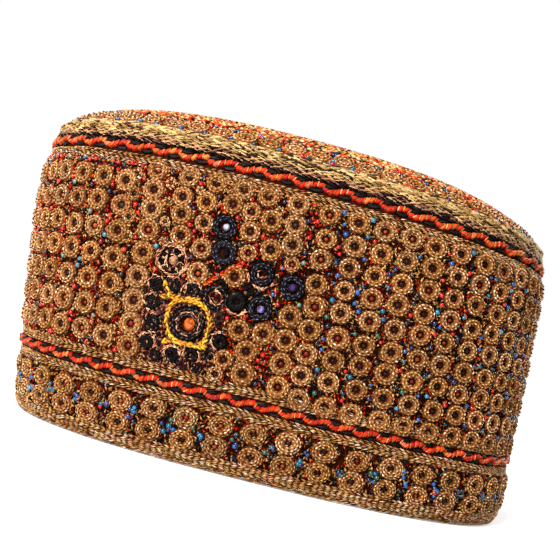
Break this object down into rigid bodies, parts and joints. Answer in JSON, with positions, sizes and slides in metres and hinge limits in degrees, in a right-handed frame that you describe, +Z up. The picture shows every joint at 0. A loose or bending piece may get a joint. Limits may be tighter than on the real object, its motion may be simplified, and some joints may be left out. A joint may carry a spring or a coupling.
{
  "type": "embroidered oval cap",
  "caption": "Stiff oval cap with a low domed crown, stitched rosettes, twisted cords and a stone-set front motif; rests on its hem, hollow for a head.",
  "frame": {"origin": "middle of the whole cap's box, on the surface that the hem rests on", "axes": "+Z up from the hem to the crown, the front with the motif faces -Y, +X to the right as seen from the front"},
  "size_m": [0.2144, 0.138, 0.1272],
  "materials": {
    "rosette_cloth": "padded cloth under gold chain-stitched rosettes",
    "gold_thread": "chain-stitched metallic thread, slight sheen",
    "red_cord": "twisted red, orange and black plies",
    "yellow_thread": "chain-stitched thread",
    "black_thread": "chain-stitched thread, slight sheen",
    "orange_stone": "polished cut glass",
    "clear_crystal": "polished cut glass, foil backed",
    "black_crystal": "polished cut glass",
    "purple_crystal": "polished cut glass, foil backed",
    "violet_crystal": "polished cut glass, foil backed",
    "tan_pearl": "pearly bead"
  },
  "bodies": {
    "root": {"side_wall": "rosette_cloth", "crown": "rosette_cloth", "hem_braid": "gold_thread", "lower_edging_bottom": "gold_thread", "lower_cord": "red_cord", "lower_edging_top": "gold_thread", "upper_edging": "gold_thread", "upper_cord": "red_cord", "shoulder_braid": "gold_thread", "medallion_ring": "yellow_thread", "medallion_core": "black_thread", "medallion_stone": "orange_stone", "flower_rosette": "black_thread", "flower_pearl": "tan_pearl", "black_rosette_1": "black_thread", "black_rosette_2": "black_thread", "black_rosette_3": "black_thread", "black_rosette_4": "black_thread", "black_rosette_5": "black_thread", "crystal_clear": "clear_crystal", "crystal_black": "black_crystal", "crystal_purple": "purple_crystal", "crystal_violet": "violet_crystal"}
  },
  "joints": []
}
